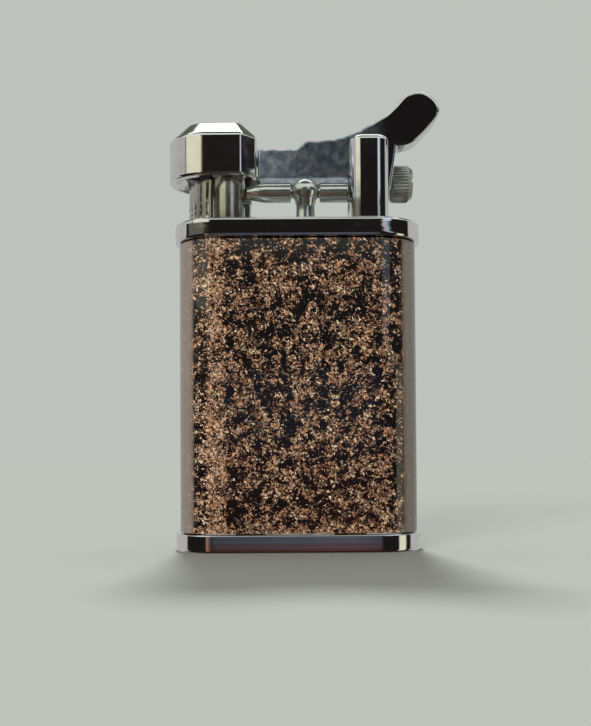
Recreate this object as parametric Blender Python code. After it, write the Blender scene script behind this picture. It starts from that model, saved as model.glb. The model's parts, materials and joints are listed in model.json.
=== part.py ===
"""Pocket lift-arm gas flint lighter, as separate solids.

The helpers take millimetres. +X is the thumb piece's side, +Y the rear, +Z up, and the origin is
the centre of the base plate's underside. The flame end is at the left, above BURNER.
"""

import math

import bmesh
import bpy
from mathutils import Vector

MM = 0.001

# Body
PLATE_WIDTH = 35.5
PLATE_DEPTH = 13.5
PLATE_RADIUS = 6.3
BASE_HEIGHT = 2.5
TOP_LOW = 44.3
TOP_HIGH = 47.0
TOP_ROUND = 0.45
SEAM = 0.15
WRAP_INSET = 0.6
CASE_INSET = WRAP_INSET + 0.65
TANK_INSET = CASE_INSET + 0.7
SHEET = 0.5
TANK_WALL = 0.8
TANK_LOW = 6.5
TANK_HIGH = 41.5
CORNER_STEPS = 7

# Places on the plates, as (x, y)
FILL = (-7.0, 0.0)
ADJUSTER = (7.5, 0.0)
BURNER = (-9.8, -2.3)
LEVER_POST = (1.2, -3.8)
BRACKET_SCREW = (-10.5, 4.2)
POST_SCREW = (10.3, 3.2)

# Lift arm, its post and the snuffer
PIVOT = (10.3, 56.2)
PIN_RADIUS = 0.9
ARM_FRONT = -3.45
ARM_BACK = 0.4
ARM_LEFT = -5.6
ARM_LOW = 53.4
ARM_HIGH = 57.6
SLOT_GAP = 0.25
POST_WIDTH = 5.5
POST_FRONT = -5.85
POST_BACK = 6.0
POST_HIGH = 59.0
SNUFFER_RIGHT = -5.75
SNUFFER_LEFT = -12.6
SNUFFER_RADIUS = 6.0
SNUFFER_CUT = 2.0
SNUFFER_LOW = 53.2
SNUFFER_HIGH = 61.4
SNUFFER_BEVEL = 2.3
SNUFFER_WALL = 1.2
SNUFFER_SCREW = (-1.45, 56.3)

# Gas lever
LEVER_Y = -3.3
LEVER_Z = 51.2
LEVER_RADIUS = 1.4
NECK_RADIUS = 0.8
BALL_RADIUS = 1.95
COLLAR_LOW = 50.9

# Flint and wheel
WHEEL_X = -11.4
WHEEL_Z = 53.75
WHEEL_RADIUS = 3.2
WHEEL_TEETH = 30
FLINT_AXIS = (3.2, 54.25)
TUBE_RADIUS = 1.6
TUBE_BORE = 1.15
HEAD_RADIUS = 2.75
HEAD_TEETH = 24

CHROME = ("chrome", (0.78, 0.78, 0.8), 0.08, 1.0)
BRUSHED = ("brushed_chrome", (0.55, 0.57, 0.62), 0.32, 1.0)
STEEL = ("steel", (0.5, 0.5, 0.52), 0.3, 1.0)
BRASS = ("brass", (0.78, 0.6, 0.3), 0.3, 1.0)
WRAP = ("copper_fleck_wrap", (0.3, 0.17, 0.1), 0.15, 0.2)
TANK = ("tank_plastic", (0.85, 0.85, 0.82), 0.4, 0.0)
RUBBER = ("seal_rubber", (0.03, 0.03, 0.03), 0.7, 0.0)
FLINT = ("flint_alloy", (0.2, 0.19, 0.18), 0.5, 0.6)


def clear_scene():
    for thing in list(bpy.data.objects):
        bpy.data.objects.remove(thing, do_unlink=True)


def finish_material(finish):
    """The named material of a (name, colour, roughness, metallic) finish, made once."""
    name, colour, roughness, metallic = finish
    made = bpy.data.materials.get(name)
    if made:
        return made
    made = bpy.data.materials.new(name)
    made.use_nodes = True
    shader = made.node_tree.nodes["Principled BSDF"]
    shader.inputs["Base Color"].default_value = (*colour, 1.0)
    shader.inputs["Roughness"].default_value = roughness
    shader.inputs["Metallic"].default_value = metallic
    return made


def empty(name, at):
    """A parent that marks a joint's axis."""
    marker = bpy.data.objects.new(name, None)
    marker.location = Vector(at) * MM
    marker.empty_display_size = 5 * MM
    bpy.context.collection.objects.link(marker)
    return marker


def ride(part, marker):
    """Parents a part to a joint's marker and leaves it where it is."""
    part.parent = marker
    part.location -= marker.location


def loft(name, rings, finish, ring_closed=False):
    """A solid through rings of points. Its ends are capped, or joined to each other if ring_closed."""
    shape = bmesh.new()
    loops = [[shape.verts.new(Vector(point) * MM) for point in ring] for ring in rings]
    around = len(loops[0])
    pairs = list(zip(loops, loops[1:]))
    if ring_closed:
        pairs.append((loops[-1], loops[0]))
    else:
        shape.faces.new(loops[0])
        shape.faces.new(loops[-1])
    for lower, upper in pairs:
        for i in range(around):
            j = (i + 1) % around
            shape.faces.new((lower[i], lower[j], upper[j], upper[i]))
    bmesh.ops.recalc_face_normals(shape, faces=shape.faces)
    mesh = bpy.data.meshes.new(name)
    shape.to_mesh(mesh)
    shape.free()
    mesh.shade_smooth()
    mesh.set_sharp_from_angle(angle=math.radians(35))
    mesh.materials.append(finish_material(finish))
    part = bpy.data.objects.new(name, mesh)
    bpy.context.collection.objects.link(part)
    return part


def put(part, at, axis="Z"):
    """Places a part whose own +Z is to point along axis."""
    part.location = Vector(at) * MM
    if axis == "X":
        part.rotation_euler = (0, math.pi / 2, 0)
    if axis == "Y":
        part.rotation_euler = (-math.pi / 2, 0, 0)
    return part


def circle(radius, height, steps, tooth=0.0):
    """A ring of points. Every second point is a tooth's depth further in."""
    ring = []
    for i in range(steps):
        turn = 2 * math.pi * i / steps
        reach = radius - tooth * (i % 2)
        ring.append((reach * math.cos(turn), reach * math.sin(turn), height))
    return ring


def turned(name, profile, finish, at, axis="Z", steps=20, hollow=False):
    """A round solid from (radius, height) points. A hollow one's profile is a closed loop."""
    rings = [circle(radius, height, steps) for radius, height in profile]
    return put(loft(name, rings, finish, ring_closed=hollow), at, axis)


def prism(name, outline, low, high, finish, axis="Z"):
    """An outline pushed along an axis: (x, y) points along Z, (x, z) along Y, (y, z) along X."""
    order = {"Z": (0, 1, 2), "Y": (0, 2, 1), "X": (2, 0, 1)}[axis]
    rings = []
    for height in (low, high):
        rings.append([tuple((*point, height)[i] for i in order) for point in outline])
    return loft(name, rings, finish)


def block(name, low, high, finish):
    outline = [(low[0], low[1]), (high[0], low[1]), (high[0], high[1]), (low[0], high[1])]
    return prism(name, outline, low[2], high[2], finish)


def helper(part):
    """Keeps a cutter or a merged shape out of the model."""
    part.hide_render = True
    part.display_type = "WIRE"
    return part


def combine(part, others, operation):
    for other in others:
        modifier = part.modifiers.new(other.name, "BOOLEAN")
        modifier.operation = operation
        modifier.object = helper(other)
    return part


def cut(part, *others):
    return combine(part, others, "DIFFERENCE")


def join(part, *others):
    return combine(part, others, "UNION")


def drill(name, radius, low, high, at, axis="Z", steps=20):
    """A round cutter from low to high along its axis through the point at."""
    return turned(name, [(radius, low), (radius, high)], STEEL, at, axis, steps)


def rounded(inset, height, steps=CORNER_STEPS):
    """The plates' outline, drawn in by inset."""
    radius = max(PLATE_RADIUS - inset, 0.5)
    x = PLATE_WIDTH / 2 - inset - radius
    y = PLATE_DEPTH / 2 - inset - radius
    ring = []
    for quarter, (sign_x, sign_y) in enumerate([(1, 1), (-1, 1), (-1, -1), (1, -1)]):
        for i in range(steps + 1):
            turn = math.pi / 2 * (quarter + i / steps)
            px = sign_x * x + radius * math.cos(turn)
            py = sign_y * y + radius * math.sin(turn)
            ring.append((px, py, height))
    return ring


def smooth_outline(points, steps=3):
    """A closed Catmull-Rom curve through the points."""
    curve = []
    count = len(points)
    for i in range(count):
        a, b, c, d = (Vector(points[(i + k) % count]) for k in (-1, 0, 1, 2))
        for j in range(steps):
            t = j / steps
            point = 2 * b + (c - a) * t
            point += (2 * a - 5 * b + 4 * c - d) * t**2
            point += (3 * b - a - 3 * c + d) * t**3
            curve.append(tuple(point / 2))
    return curve


def coil(name, radius, wire, length, turns, finish, at, axis="Z"):
    """A compression spring of round wire, from its first end."""
    line = bpy.data.curves.new(name, "CURVE")
    line.dimensions = "3D"
    line.bevel_depth = wire * MM
    line.bevel_resolution = 0
    line.use_fill_caps = True
    spline = line.splines.new("POLY")
    per_turn = 9
    count = turns * per_turn
    spline.points.add(count)
    for i, point in enumerate(spline.points):
        turn = 2 * math.pi * i / per_turn
        height = wire + (length - 2 * wire) * i / count
        place = Vector((radius * math.cos(turn), radius * math.sin(turn), height)) * MM
        point.co = (*place, 1.0)
    line.materials.append(finish_material(finish))
    spring = bpy.data.objects.new(name, line)
    bpy.context.collection.objects.link(spring)
    return put(spring, at, axis)


def make_base():
    rings = [rounded(0.4, 0), rounded(0, 0.4), rounded(0, BASE_HEIGHT - 0.2), rounded(0.2, BASE_HEIGHT)]
    base = loft("base_plate", rings, CHROME)
    cut(
        base,
        drill("fill_hole", 2.45, -1, 4, (*FILL, 0)),
        drill("adjuster_hole", 2.6, -1, 4, (*ADJUSTER, 0)),
    )


def shell(name, inset, low, high, finish):
    """A tube of sheet that follows the plates' outline."""
    inner = inset + SHEET
    rings = [rounded(inset, low), rounded(inset, high), rounded(inner, high), rounded(inner, low)]
    return loft(name, rings, finish, ring_closed=True)


def make_body():
    low = BASE_HEIGHT + SEAM
    high = TOP_LOW - SEAM
    shell("body_wrap", WRAP_INSET, low, high, WRAP)
    shell("body_case", CASE_INSET, low, high, STEEL)


def make_tank():
    inner = TANK_INSET + TANK_WALL
    tank = loft("fuel_tank", [rounded(TANK_INSET, TANK_LOW), rounded(TANK_INSET, TANK_HIGH)], TANK)
    hollow = loft("tank_hollow", [rounded(inner, 5), rounded(inner, TANK_HIGH - 1.2)], TANK)
    cut(tank, hollow, drill("tank_mouth", 1.4, 39, 43, (*BURNER, 0)))
    lid = loft("tank_base", [rounded(TANK_INSET, 4.9), rounded(TANK_INSET, 6.3)], TANK)
    cut(
        lid,
        drill("lid_fill_hole", 1.75, 4, 7, (*FILL, 0)),
        drill("lid_adjuster_hole", 1.95, 4, 7, (*ADJUSTER, 0)),
    )
    ring = [(1.4, 41.6), (2.3, 41.6), (2.3, 41.8), (1.4, 41.8)]
    turned("tank_gasket", ring, RUBBER, (*BURNER, 0), hollow=True)


def make_fill_valve():
    body = [(2.3, 0.4), (2.3, 4.6), (1.6, 4.6), (1.6, 11), (0.6, 11)]
    body += [(0.6, 10.2), (1.3, 10.2), (1.3, 2), (0.85, 2), (0.85, 0.4)]
    turned("fill_valve_body", body, BRASS, (*FILL, 0), hollow=True)
    ring = [(0.8, 2.05), (1.15, 2.05), (1.15, 2.35), (0.8, 2.35)]
    turned("fill_valve_seal", ring, RUBBER, (*FILL, 0), hollow=True, steps=14)
    stem = [(0.7, 0.7), (0.7, 2.4), (1.15, 2.4), (1.15, 3.2), (0.4, 3.2), (0.4, 8)]
    marker = empty("fill_valve_axis", (*FILL, 0))
    ride(turned("fill_valve_stem", stem, STEEL, (*FILL, 0), steps=14), marker)
    coil("fill_valve_spring", 0.8, 0.15, 6.7, 6, STEEL, (*FILL, 3.35))


def make_flame_adjuster():
    profile = [(2.2, 0.3), (2.4, 0.5), (2.4, 2.6), (1.4, 2.6), (1.4, 9.5)]
    knob = turned("flame_adjuster", profile, BRASS, (*ADJUSTER, 0))
    slot = block("adjuster_slot", (-0.4, -3, -1), (0.4, 3, 1.3), BRASS)
    cut(knob, put(slot, (*ADJUSTER, 0)))
    marker = empty("flame_adjuster_axis", (*ADJUSTER, 0))
    ride(knob, marker)
    ride(slot, marker)
    ring = [(1.5, 5), (1.85, 5), (1.85, 6.2), (1.5, 6.2)]
    turned("flame_adjuster_seal", ring, RUBBER, (*ADJUSTER, 0), hollow=True, steps=16)


def make_top_plate():
    rings = [rounded(0.15, TOP_LOW), rounded(0, TOP_LOW + 0.15)]
    for i in range(4):
        turn = math.pi / 6 * i
        inset = TOP_ROUND * (1 - math.cos(turn))
        rings.append(rounded(inset, TOP_HIGH - TOP_ROUND * (1 - math.sin(turn))))
    plate = loft("top_plate", rings, CHROME)
    cut(
        plate,
        drill("plate_burner_hole", 1.6, 42, 48, (*BURNER, 0)),
        drill("plate_lever_hole", 0.9, 44.7, 48, (*LEVER_POST, 0), steps=12),
        drill("plate_bracket_hole", 0.8, 44.8, 48, (*BRACKET_SCREW, 0), steps=12),
        drill("plate_post_hole", 0.9, 42, 48, (*POST_SCREW, 0), steps=12),
        drill("plate_post_sink", 1.7, 42, 45.0, (*POST_SCREW, 0), steps=16),
    )


def make_burner():
    body = [(1.3, 34), (1.3, 41.9), (2.3, 41.9), (2.3, 43), (1.5, 43), (1.5, 47.4), (0.75, 47.4), (0.75, 34)]
    turned("valve_body", body, BRASS, (*BURNER, 0), hollow=True)
    sleeve = [(2.3, 47.1), (2.3, 54.7), (2.1, 54.9), (1.0, 54.9), (1.0, 54.4), (1.9, 54.4), (1.9, 47.1)]
    outer = turned("burner_sleeve", sleeve, CHROME, (*BURNER, 0), steps=28, hollow=True)
    cut(outer, block("sleeve_slot", (-9.8, -3.35, 49.3), (-6, -1.25, 52.3), CHROME))
    nozzle = [(0.6, 44.5), (0.6, COLLAR_LOW), (1.6, COLLAR_LOW), (1.6, 51.6), (0.6, 51.6), (0.6, 55.1)]
    marker = empty("burner_nozzle_axis", (*BURNER, COLLAR_LOW))
    ride(turned("burner_nozzle", nozzle, BRASS, (*BURNER, 0), steps=16), marker)
    coil("nozzle_spring", 1.2, 0.17, 2.5, 4, STEEL, (*BURNER, 51.75))


def make_wind_guard():
    centre = Vector((-11.0, -0.2, 0))
    inner, outer = 4.25, 4.75
    first, last, steps = math.radians(165), math.radians(255), 14
    outline = []
    for radius, order in ((outer, range(steps + 1)), (inner, range(steps, -1, -1))):
        for i in order:
            turn = first + (last - first) * i / steps
            outline.append((radius * math.cos(turn), radius * math.sin(turn)))
    guard = put(prism("wind_guard", outline, 47.1, 52.8, CHROME), centre)
    slots = 7
    for i in range(slots):
        turn = first + (last - first) * (i + 0.5) / slots
        slot = block(f"guard_slot_{i}", (3.5, -0.2, 48.2), (5.5, 0.2, 49.6), CHROME)
        put(slot, centre).rotation_euler = (0, 0, turn)
        cut(guard, slot)


def make_wheel():
    foot = block("wheel_bracket", (-13.2, 0.3, 47.1), (-7.0, 5.2, 47.9), STEEL)
    ear_outline = [(-12.7, 47.5), (-10.1, 47.5)]
    ear_outline += [(WHEEL_X + 1.3 * math.cos(t), WHEEL_Z + 1.3 * math.sin(t)) for t in half_turn()]
    ear = prism("bracket_ear", ear_outline, 0.3, 0.9, STEEL, "Y")
    wall_outline = [(0.3, 47.5), (5.2, 47.5)]
    y, z = FLINT_AXIS
    wall_outline += [(y + 2 * math.cos(t), z + 2 * math.sin(t)) for t in half_turn()]
    wall_outline += [(1.2, 49.5), (0.3, 49.5)]
    wall = prism("bracket_wall", wall_outline, -8.0, -7.0, STEEL, "X")
    join(foot, ear, wall)
    cut(
        foot,
        drill("ear_hole", 0.75, -1, 2, (WHEEL_X, 0, WHEEL_Z), "Y", 14),
        drill("wall_hole", TUBE_RADIUS + 0.1, -9, -6, (0, *FLINT_AXIS), "X"),
        drill("foot_hole", 0.8, 46, 49, (*BRACKET_SCREW, 0), steps=12),
    )
    marker = empty("spark_wheel_axis", (WHEEL_X, 2.35, WHEEL_Z))
    steps = 2 * WHEEL_TEETH
    rings = [
        circle(0.8, 1.1, steps),
        circle(WHEEL_RADIUS, 1.1, steps, tooth=0.25),
        circle(WHEEL_RADIUS, 3.4, steps, tooth=0.25),
        circle(0.8, 3.4, steps),
    ]
    wheel = loft("spark_wheel", rings, STEEL, ring_closed=True)
    ride(put(wheel, (WHEEL_X, 0, WHEEL_Z), "Y"), marker)
    shank = [(0.7, 0.15), (0.7, 3.55), (1.5, 3.55), (1.5, 4.1)]
    turned("wheel_screw", shank, STEEL, (WHEEL_X, 0, WHEEL_Z), "Y", 16)
    screw = [(0.7, 45), (0.7, 48), (1.0, 48), (1.0, 48.6)]
    turned("bracket_screw", screw, STEEL, (*BRACKET_SCREW, 0), steps=12)


def half_turn(steps=8):
    return [math.pi * i / steps for i in range(steps + 1)]


def make_flint():
    tube = [(TUBE_RADIUS, -7.7), (TUBE_RADIUS, 13.7), (TUBE_BORE, 13.7), (TUBE_BORE, -7.7)]
    turned("flint_tube", tube, BRASS, (0, *FLINT_AXIS), "X", hollow=True)
    turned("flint", [(1.05, -8.05), (1.05, -4)], FLINT, (0, *FLINT_AXIS), "X", 14)
    coil("flint_spring", 0.85, 0.16, 10.1, 9, STEEL, (-3.8, *FLINT_AXIS), "X")
    marker = empty("flint_screw_axis", (13.9, *FLINT_AXIS))
    pusher = turned("flint_pusher", [(1.05, 6.5), (1.05, 8.3)], BRASS, (0, *FLINT_AXIS), "X", 14)
    ride(pusher, marker)
    steps = 2 * HEAD_TEETH
    rings = [
        circle(1.05, 8.5, steps),
        circle(1.05, 13.9, steps),
        circle(HEAD_RADIUS - 0.3, 13.9, steps, tooth=0.1),
        circle(HEAD_RADIUS, 14.2, steps, tooth=0.2),
        circle(HEAD_RADIUS, 16.6, steps, tooth=0.2),
        circle(HEAD_RADIUS - 0.6, 17.2, steps),
    ]
    head = put(loft("flint_screw", rings, CHROME), (0, *FLINT_AXIS), "X")
    slot = block("flint_screw_slot", (16.5, -4, -0.35), (18, 4, 0.35), CHROME)
    cut(head, put(slot, (0, *FLINT_AXIS)))
    ride(head, marker)
    ride(slot, marker)


def make_arm_post():
    radius = 1.8
    half_x = POST_WIDTH / 2
    middle = (POST_FRONT + POST_BACK) / 2
    half_y = (POST_BACK - POST_FRONT) / 2
    rings = []
    for inset, height in ((0, 47.1), (0, POST_HIGH - 0.8), (0.25, POST_HIGH - 0.25), (0.8, POST_HIGH)):
        ring = []
        for quarter, (sx, sy) in enumerate([(1, 1), (-1, 1), (-1, -1), (1, -1)]):
            for i in range(CORNER_STEPS + 1):
                turn = math.pi / 2 * (quarter + i / CORNER_STEPS)
                x = PIVOT[0] + sx * (half_x - radius) + (radius - inset) * math.cos(turn)
                y = middle + sy * (half_y - radius) + (radius - inset) * math.sin(turn)
                ring.append((x, y, height))
        rings.append(ring)
    post = loft("arm_post", rings, CHROME)
    slot = block("post_slot", (6, ARM_FRONT - SLOT_GAP, 48.9), (15, ARM_BACK + SLOT_GAP, 61), CHROME)
    cut(
        post,
        slot,
        drill("post_pin_hole", PIN_RADIUS + 0.06, -5.1, 2.1, (PIVOT[0], 0, PIVOT[1]), "Y"),
        drill("post_tube_hole", TUBE_RADIUS + 0.1, 6, 15, (0, *FLINT_AXIS), "X"),
        drill("post_screw_hole", 0.8, 46, 50.4, (*POST_SCREW, 0), steps=12),
    )
    pin = [(PIN_RADIUS, -5.0), (PIN_RADIUS, 2.0)]
    turned("pivot_pin", pin, STEEL, (PIVOT[0], 0, PIVOT[1]), "Y")
    screw = [(1.5, 43.8), (1.5, 44.8), (0.7, 44.8), (0.7, 50.2)]
    turned("arm_post_screw", screw, STEEL, (*POST_SCREW, 0), steps=12)


def snuffer_outline(inset, height):
    """A half circle at the left, straight sides, and chamfered corners at the right."""
    radius = SNUFFER_RADIUS - inset
    right = SNUFFER_RIGHT - inset
    corner = SNUFFER_CUT - inset * (2 - math.sqrt(2))
    ring = []
    steps = 16
    for i in range(steps + 1):
        turn = math.pi / 2 + math.pi * i / steps
        ring.append((SNUFFER_LEFT + radius * math.cos(turn), radius * math.sin(turn), height))
    for x, y in ((corner, radius), (0, radius - corner)):
        ring.append((right - x, -y, height))
    for x, y in ((0, radius - corner), (corner, radius)):
        ring.append((right - x, y, height))
    return ring


def make_snuffer(marker):
    crown = SNUFFER_HIGH - SNUFFER_BEVEL
    rings = [
        snuffer_outline(0.3, SNUFFER_LOW),
        snuffer_outline(0, SNUFFER_LOW + 0.3),
        snuffer_outline(0, crown),
        snuffer_outline(SNUFFER_BEVEL, SNUFFER_HIGH),
    ]
    cap = loft("snuffer_cap", rings, CHROME)
    hollow = [
        snuffer_outline(SNUFFER_WALL, SNUFFER_LOW - 1),
        snuffer_outline(SNUFFER_WALL, crown - 0.5),
        snuffer_outline(SNUFFER_WALL + 1.7, SNUFFER_HIGH - SNUFFER_WALL),
    ]
    inside = loft("snuffer_hollow", hollow, CHROME)
    notch = block("tube_notch", (-8.3, 1.2, 52), (-5, 5.2, 56.7), CHROME)
    hole = drill("snuffer_screw_hole", 0.85, -8, -5, (0, *SNUFFER_SCREW), "X", 14)
    cut(cap, inside, notch, hole)
    screw = [(1.3, -7.9), (1.3, -7.05), (0.7, -7.05), (0.7, -2.2)]
    bolt = turned("snuffer_screw", screw, STEEL, (0, *SNUFFER_SCREW), "X", 14)
    for part in (cap, inside, notch, hole, bolt):
        ride(part, marker)


def make_lift_arm():
    marker = empty("lift_arm_axis", (PIVOT[0], 0, PIVOT[1]))
    bar = [(ARM_LEFT, ARM_LOW), (8.3, ARM_LOW), (9.4, 52.3), (11.4, 51.3), (12.9, 51.3), (13.5, 51.8)]
    bar += [(14.4, 58.3), (17.2, 60.4), (18.3, 63.4), (16.3, 64.3), (13.5, 62.9)]
    bar += [(12.0, 61.95), (10.6, 61.1), (8.9, 60.15), (7.2, 59.45), (5.3, 59.0)]
    bar += [(1.4, 58.75), (0.0, ARM_HIGH), (ARM_LEFT, ARM_HIGH)]
    arm = prism("lift_arm", bar, ARM_FRONT, ARM_BACK, BRUSHED, "Y")
    thumb_line = [(13.0, 61.0), (14.4, 57.9), (16.7, 58.5), (19.0, 60.6), (20.6, 62.8)]
    thumb_line += [(19.9, 64.6), (18.0, 65.7), (15.7, 65.3)]
    thumb = prism("thumb_piece", smooth_outline(thumb_line), ARM_FRONT - 0.05, 0.3, BRUSHED, "Y")
    join(arm, thumb)
    pin_hole = drill("arm_pin_hole", PIN_RADIUS + 0.08, -6, 3, (PIVOT[0], 0, PIVOT[1]), "Y")
    screw_hole = drill("arm_screw_hole", 0.8, -7, -2, (0, *SNUFFER_SCREW), "X", 12)
    cut(arm, pin_hole, screw_hole)
    for part in (arm, thumb, pin_hole, screw_hole):
        ride(part, marker)
    make_snuffer(marker)


def make_gas_lever():
    x, post_y = LEVER_POST
    marker = empty("gas_lever_axis", (x, LEVER_Y, LEVER_Z))
    left_neck = x - BALL_RADIUS - 0.1
    right_neck = x + BALL_RADIUS + 0.1
    rod = [(0.85, -7.2), (1.0, -6.6), (LEVER_RADIUS, -4.6), (LEVER_RADIUS, left_neck), (NECK_RADIUS, left_neck)]
    rod += [(NECK_RADIUS, right_neck), (LEVER_RADIUS, right_neck), (LEVER_RADIUS, 7.25)]
    lever = turned("gas_lever", rod, CHROME, (0, LEVER_Y, LEVER_Z), "X", 24)
    left = block("left_tongue", (-8.9, -2.9, 49.85), (-6.5, -1.7, 50.75), CHROME)
    right = block("right_tongue", (6.7, -3.4, 50.2), (12.6, -1.6, 51.0), CHROME)
    pin_hole = drill("lever_pin_hole", 0.42, -6, 0, (x, 0, LEVER_Z), "Y", 12)
    cut(join(lever, left, right), pin_hole)
    for part in (lever, left, right, pin_hole):
        ride(part, marker)

    profile = [(0.8, -6.4), (0.8, -4.1), (1.4, -4.1), (1.3, -2.3), (1.45, -1.8)]
    for i in range(8):
        turn = math.radians(-35 + 15 * i)
        profile.append((BALL_RADIUS * math.cos(turn), BALL_RADIUS * math.sin(turn)))
    post = turned("gas_lever_post", profile, CHROME, (x, post_y, LEVER_Z), steps=24)
    cut(
        post,
        drill("ball_hole", NECK_RADIUS + 0.3, -4, 4, (x, LEVER_Y, LEVER_Z), "X", 20),
        drill("ball_pin_hole", 0.42, -5.1, 0, (x, 0, LEVER_Z), "Y", 12),
    )
    turned("gas_lever_pin", [(0.35, -5.0), (0.35, -2.0)], STEEL, (x, 0, LEVER_Z), "Y", 12)


def main():
    clear_scene()
    make_base()
    make_body()
    make_tank()
    make_fill_valve()
    make_flame_adjuster()
    make_top_plate()
    make_burner()
    make_wind_guard()
    make_wheel()
    make_flint()
    make_arm_post()
    make_lift_arm()
    make_gas_lever()


main()
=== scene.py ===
"""Looks of the lift-arm gas lighter: fine surfaces, materials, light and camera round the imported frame.

The helpers take millimetres, in the frame's own axes: +X towards the thumb piece, +Y the rear, +Z up.
"""

import json
import math

import bmesh
import bpy
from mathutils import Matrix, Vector


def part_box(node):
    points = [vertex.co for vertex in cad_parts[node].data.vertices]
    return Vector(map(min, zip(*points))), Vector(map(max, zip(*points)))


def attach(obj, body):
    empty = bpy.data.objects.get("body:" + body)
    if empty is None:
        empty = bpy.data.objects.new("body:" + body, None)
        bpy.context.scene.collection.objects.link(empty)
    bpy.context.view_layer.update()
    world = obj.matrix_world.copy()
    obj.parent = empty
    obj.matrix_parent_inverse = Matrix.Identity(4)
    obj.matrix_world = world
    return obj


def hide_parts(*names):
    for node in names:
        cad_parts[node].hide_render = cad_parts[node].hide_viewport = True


MM = 0.001

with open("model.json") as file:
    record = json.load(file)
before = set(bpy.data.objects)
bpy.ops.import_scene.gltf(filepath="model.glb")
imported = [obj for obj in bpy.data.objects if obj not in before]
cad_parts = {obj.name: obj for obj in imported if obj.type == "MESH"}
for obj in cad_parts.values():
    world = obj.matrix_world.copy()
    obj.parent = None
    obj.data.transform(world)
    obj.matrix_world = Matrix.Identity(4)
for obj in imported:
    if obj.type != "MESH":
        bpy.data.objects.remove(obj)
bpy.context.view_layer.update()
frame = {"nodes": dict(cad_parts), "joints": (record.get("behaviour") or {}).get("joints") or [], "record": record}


def span(node):
    """A CAD node's lowest and highest corners, in millimetres."""
    low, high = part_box(node)
    return low / MM, high / MM


def joint_place(name):
    """A joint's place, in millimetres."""
    places = {joint["name"]: joint["pos_m"] for joint in frame["joints"] if "pos_m" in joint}
    return Vector(places[name]) / MM


# Where the CAD nodes and the joints are

BASE_LOW, BASE_HIGH = span("base_plate")
TOP_LOW, TOP_HIGH = span("top_plate")
WRAP_LOW, WRAP_HIGH = span("body_wrap")
SLEEVE_LOW, SLEEVE_HIGH = span("burner_sleeve")
POST_LOW, POST_HIGH = span("arm_post")
ARM_LOW, ARM_HIGH = span("lift_arm")
CAP_LOW, CAP_HIGH = span("snuffer_cap")
GUARD_LOW, GUARD_HIGH = span("wind_guard")
BALL_LOW, BALL_HIGH = span("gas_lever_post")
HEAD_LOW, HEAD_HIGH = span("flint_screw")
TUBE_LOW, TUBE_HIGH = span("flint_tube")
WHEEL_LOW, WHEEL_HIGH = span("spark_wheel")
LEVER_TOP = span("gas_lever")[1].z
PIVOT = joint_place("arm_lift")
LEVER_PIVOT = joint_place("gas_lever_rock")
WHEEL_PIVOT = joint_place("spark_wheel_spin")
FLINT_PIVOT = joint_place("flint_screw_turn")
ADJUSTER = joint_place("flame_adjuster_turn")
BURNER = (SLEEVE_LOW + SLEEVE_HIGH) / 2
BALL = (BALL_LOW + BALL_HIGH) / 2

# The plates and the wrap

PLATE_WIDTH = BASE_HIGH.x - BASE_LOW.x
PLATE_DEPTH = BASE_HIGH.y - BASE_LOW.y
PLATE_RADIUS = 6.3
CORNER_STEPS = 14
BASE_FOOT = 0.4
BASE_LIP = 0.18
BASE_BULGE = 0.05
TOP_LIP = 0.15
TOP_ROUND = 0.45
TOP_BULGE = 0.02
WRAP_LIP = 0.12
WRAP_WALL = 0.5
FILL = (-7.0, 0.0)
FILL_HOLE = 2.45
ADJUSTER_HOLE = 2.6
BRACKET_SCREW = (-10.5, 4.2)
BRACKET_HOLE = 0.8
BRACKET_HOLE_END = 44.8
POST_SCREW = (10.3, 3.2)
POST_HOLE = 0.9
POST_HEAD_HOLE = 1.7
POST_HEAD_END = 45.0
BURNER_HOLE = 1.6
STEM_HOLE = 0.9
STEM_END = 44.7
BELOW_TOP = 42
ABOVE_TOP = 48

# The burner sleeve and the wind guard

SLEEVE_RADIUS = 2.3
SLEEVE_BORE = 1.9
SLEEVE_MOUTH = 1.0
SLEEVE_CROWN = 0.5
SLEEVE_ROUND = 0.25
GUARD_CENTRE = (-11.0, -0.2, 0)
GUARD_INNER = 4.25
GUARD_OUTER = 4.75
GUARD_FIRST = math.radians(165)
GUARD_LAST = math.radians(255)
GUARD_STEPS = 40
GUARD_SLOTS = 7

# The arm, its post and the snuffer

PIN_RADIUS = 0.9
POST_RADIUS = 1.8
POST_DOME = 0.8
POST_FOOT = 0.06
POST_SLOT_LOW = 48.9
POST_SLOT_GAP = 0.25
ARM_FRONT = -3.45
ARM_BACK = ARM_HIGH.y
ARM_FOOT = 53.4
ARM_TOP = 57.6
CAP_RADIUS = 6.0
CAP_CENTRE = CAP_LOW.x + CAP_RADIUS
CAP_CUT = 2.0
CAP_BEVEL = 2.3
CAP_WALL = 1.2
CAP_CROWN = CAP_HIGH.z - CAP_BEVEL
CAP_SCREW = (-1.45, 56.3)

# The gas lever, the flint screw and the wheel

BALL_RADIUS = 1.95
NECK_RADIUS = 0.8
NECK_END = BALL_RADIUS + 0.1
LEVER_CHAMFER = 0.12
LEVER_PIN_HOLE = 0.42
HEAD_TEETH = 36
HEAD_TOOTH = 0.17
SHANK_RADIUS = 1.05
FLINT_BORE = 1.15
WHEEL_TEETH = 30
WHEEL_TOOTH = 0.25
WHEEL_BORE = 0.8
TOOTH_STEPS = 6


# Shapes


def new_piece(name, shape, sharp=35):
    """A mesh object from a bmesh, smooth except over its sharp edges."""
    bmesh.ops.recalc_face_normals(shape, faces=shape.faces)
    mesh = bpy.data.meshes.new(name)
    shape.to_mesh(mesh)
    shape.free()
    mesh.shade_smooth()
    mesh.set_sharp_from_angle(angle=math.radians(sharp))
    piece = bpy.data.objects.new(name, mesh)
    bpy.context.collection.objects.link(piece)
    return piece


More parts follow.
